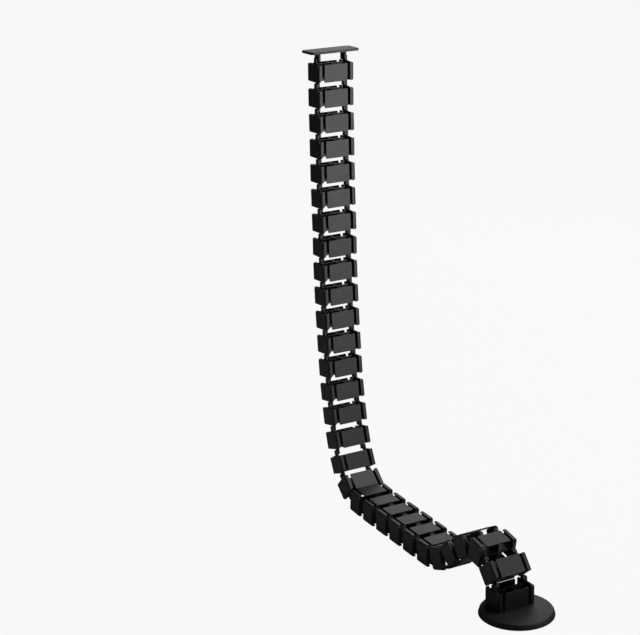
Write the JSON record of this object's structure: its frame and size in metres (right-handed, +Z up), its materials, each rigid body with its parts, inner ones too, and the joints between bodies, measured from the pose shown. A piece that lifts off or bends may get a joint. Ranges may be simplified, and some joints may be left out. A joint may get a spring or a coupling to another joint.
{
  "type": "cable spine",
  "caption": "Jointed black plastic cable guide that hangs from under a desk top down to the floor and over to a round weighted base.",
  "frame": {"origin": "middle of the desk bracket's upper face, where it meets the underside of the desk top", "axes": "+X along the links' width, -Y the side their front panels face and the floor run leads to, +Z up"},
  "size_m": [0.12, 0.6328, 0.8088],
  "materials": {
    "bracket_plastic": "fine moulded texture, black",
    "link_plastic": "fine moulded texture, black",
    "base_plastic": "fine moulded texture, black",
    "weight_steel": "plain mill finish, hidden inside the base",
    "pad_rubber": "flat, non-slip"
  },
  "bodies": {
    "bracket": {"desk_bracket": "bracket_plastic"},
    "link_01": {"link_01": "link_plastic"},
    "link_02": {"link_02": "link_plastic"},
    "link_03": {"link_03": "link_plastic"},
    "link_04": {"link_04": "link_plastic"},
    "link_05": {"link_05": "link_plastic"},
    "link_06": {"link_06": "link_plastic"},
    "link_07": {"link_07": "link_plastic"},
    "link_08": {"link_08": "link_plastic"},
    "link_09": {"link_09": "link_plastic"},
    "link_10": {"link_10": "link_plastic"},
    "link_11": {"link_11": "link_plastic"},
    "link_12": {"link_12": "link_plastic"},
    "link_13": {"link_13": "link_plastic"},
    "link_14": {"link_14": "link_plastic"},
    "link_15": {"link_15": "link_plastic"},
    "link_16": {"link_16": "link_plastic"},
    "link_17": {"link_17": "link_plastic"},
    "link_18": {"link_18": "link_plastic"},
    "link_19": {"link_19": "link_plastic"},
    "link_20": {"link_20": "link_plastic"},
    "link_21": {"link_21": "link_plastic"},
    "link_22": {"link_22": "link_plastic"},
    "link_23": {"link_23": "link_plastic"},
    "link_24": {"link_24": "link_plastic"},
    "link_25": {"link_25": "link_plastic"},
    "link_26": {"link_26": "link_plastic"},
    "link_27": {"link_27": "link_plastic"},
    "link_28": {"link_28": "link_plastic"},
    "link_29": {"link_29": "link_plastic"},
    "base": {"base_cover": "base_plastic", "base_weight": "weight_steel", "floor_pad": "pad_rubber"}
  },
  "joints": [
    {"name": "hinge_01", "type": "hinge", "parent": "bracket", "child": "link_01", "pos_m": [0, 0, -0.01575], "axis": [-1, 0, 0], "range_deg": [-38.5, 40.5]},
    {"name": "hinge_02", "type": "hinge", "parent": "link_01", "child": "link_02", "pos_m": [0, 0.00076, -0.05904], "axis": [1, 0, 0], "range_deg": [-38.5, 40.5]},
    {"name": "hinge_03", "type": "hinge", "parent": "link_02", "child": "link_03", "pos_m": [0, 0.00076, -0.10234], "axis": [-1, 0, 0], "range_deg": [-40.5, 38.5]},
    {"name": "hinge_04", "type": "hinge", "parent": "link_03", "child": "link_04", "pos_m": [0, 0, -0.14564], "axis": [1, 0, 0], "range_deg": [-40.5, 38.5]},
    {"name": "hinge_05", "type": "hinge", "parent": "link_04", "child": "link_05", "pos_m": [0, 0, -0.18894], "axis": [-1, 0, 0], "range_deg": [-40.5, 38.5]},
    {"name": "hinge_06", "type": "hinge", "parent": "link_05", "child": "link_06", "pos_m": [0, -0.00076, -0.23223], "axis": [1, 0, 0], "range_deg": [-39, 40]},
    {"name": "hinge_07", "type": "hinge", "parent": "link_06", "child": "link_07", "pos_m": [0, -0.00189, -0.27552], "axis": [-1, 0, 0], "range_deg": [-40, 39]},
    {"name": "hinge_08", "type": "hinge", "parent": "link_07", "child": "link_08", "pos_m": [0, -0.0034, -0.31879], "axis": [1, 0, 0], "range_deg": [-41.5, 37.5]},
    {"name": "hinge_09", "type": "hinge", "parent": "link_08", "child": "link_09", "pos_m": [0, -0.0034, -0.36209], "axis": [-1, 0, 0], "range_deg": [-42, 37]},
    {"name": "hinge_10", "type": "hinge", "parent": "link_09", "child": "link_10", "pos_m": [0, -0.00529, -0.40535], "axis": [1, 0, 0], "range_deg": [-39, 40]},
    {"name": "hinge_11", "type": "hinge", "parent": "link_10", "child": "link_11", "pos_m": [0, -0.00756, -0.44859], "axis": [-1, 0, 0], "range_deg": [-41, 38]},
    {"name": "hinge_12", "type": "hinge", "parent": "link_11", "child": "link_12", "pos_m": [0, -0.01095, -0.49175], "axis": [1, 0, 0], "range_deg": [-39, 40]},
    {"name": "hinge_13", "type": "hinge", "parent": "link_12", "child": "link_13", "pos_m": [0, -0.01473, -0.53489], "axis": [-1, 0, 0], "range_deg": [-40, 39]},
    {"name": "hinge_14", "type": "hinge", "parent": "link_13", "child": "link_14", "pos_m": [0, -0.01888, -0.57799], "axis": [1, 0, 0], "range_deg": [-36.5, 42.5]},
    {"name": "hinge_15", "type": "hinge", "parent": "link_14", "child": "link_15", "pos_m": [0, -0.02528, -0.62082], "axis": [-1, 0, 0], "range_deg": [-42, 37]},
    {"name": "hinge_16", "type": "hinge", "parent": "link_15", "child": "link_16", "pos_m": [0, -0.03354, -0.66332], "axis": [1, 0, 0], "range_deg": [-34, 45]},
    {"name": "hinge_17", "type": "hinge", "parent": "link_16", "child": "link_17", "pos_m": [0, -0.04584, -0.70484], "axis": [-1, 0, 0], "range_deg": [-48.5, 30.5]},
    {"name": "hinge_18", "type": "hinge", "parent": "link_17", "child": "link_18", "pos_m": [0, -0.06448, -0.74392], "axis": [1, 0, 0], "range_deg": [-18, 61]},
    {"name": "hinge_19", "type": "hinge", "parent": "link_18", "child": "link_19", "pos_m": [0, -0.09614, -0.77345], "axis": [-1, 0, 0], "range_deg": [-77.5, 1.5]},
    {"name": "hinge_20", "type": "hinge", "parent": "link_19", "child": "link_20", "pos_m": [0, -0.13928, -0.77722], "axis": [1, 0, 0], "range_deg": [-37, 42]},
    {"name": "hinge_21", "type": "hinge", "parent": "link_20", "child": "link_21", "pos_m": [0, -0.18254, -0.77911], "axis": [-1, 0, 0], "range_deg": [-40, 39]},
    {"name": "hinge_22", "type": "hinge", "parent": "link_21", "child": "link_22", "pos_m": [0, -0.22581, -0.78062], "axis": [1, 0, 0], "range_deg": [-40, 39]},
    {"name": "hinge_23", "type": "hinge", "parent": "link_22", "child": "link_23", "pos_m": [0, -0.26907, -0.78251], "axis": [-1, 0, 0], "range_deg": [-39.5, 39.5]},
    {"name": "hinge_24", "type": "hinge", "parent": "link_23", "child": "link_24", "pos_m": [0, -0.31233, -0.7844], "axis": [1, 0, 0], "range_deg": [-38.5, 40.5]},
    {"name": "hinge_25", "type": "hinge", "parent": "link_24", "child": "link_25", "pos_m": [0, -0.35562, -0.78553], "axis": [-1, 0, 0], "range_deg": [-61, 18]},
    {"name": "hinge_26", "type": "hinge", "parent": "link_25", "child": "link_26", "pos_m": [0, -0.3963, -0.77072], "axis": [1, 0, 0], "range_deg": [-13.5, 65.5]},
    {"name": "hinge_27", "type": "hinge", "parent": "link_26", "child": "link_27", "pos_m": [0, -0.42638, -0.73958], "axis": [-1, 0, 0], "range_deg": [-20.5, 58.5]},
    {"name": "hinge_28", "type": "hinge", "parent": "link_27", "child": "link_28", "pos_m": [0, -0.46496, -0.71992], "axis": [1, 0, 0], "range_deg": [-78.5, 0.5]},
    {"name": "hinge_29", "type": "hinge", "parent": "link_28", "child": "link_29", "pos_m": [0, -0.50732, -0.72892], "axis": [-1, 0, 0], "range_deg": [-0.5, 78.5]},
    {"name": "hinge_30", "type": "hinge", "parent": "link_29", "child": "base", "pos_m": [0, -0.53457, -0.76257], "axis": [1, 0, 0], "range_deg": [-78.5, 0.5]}
  ]
}
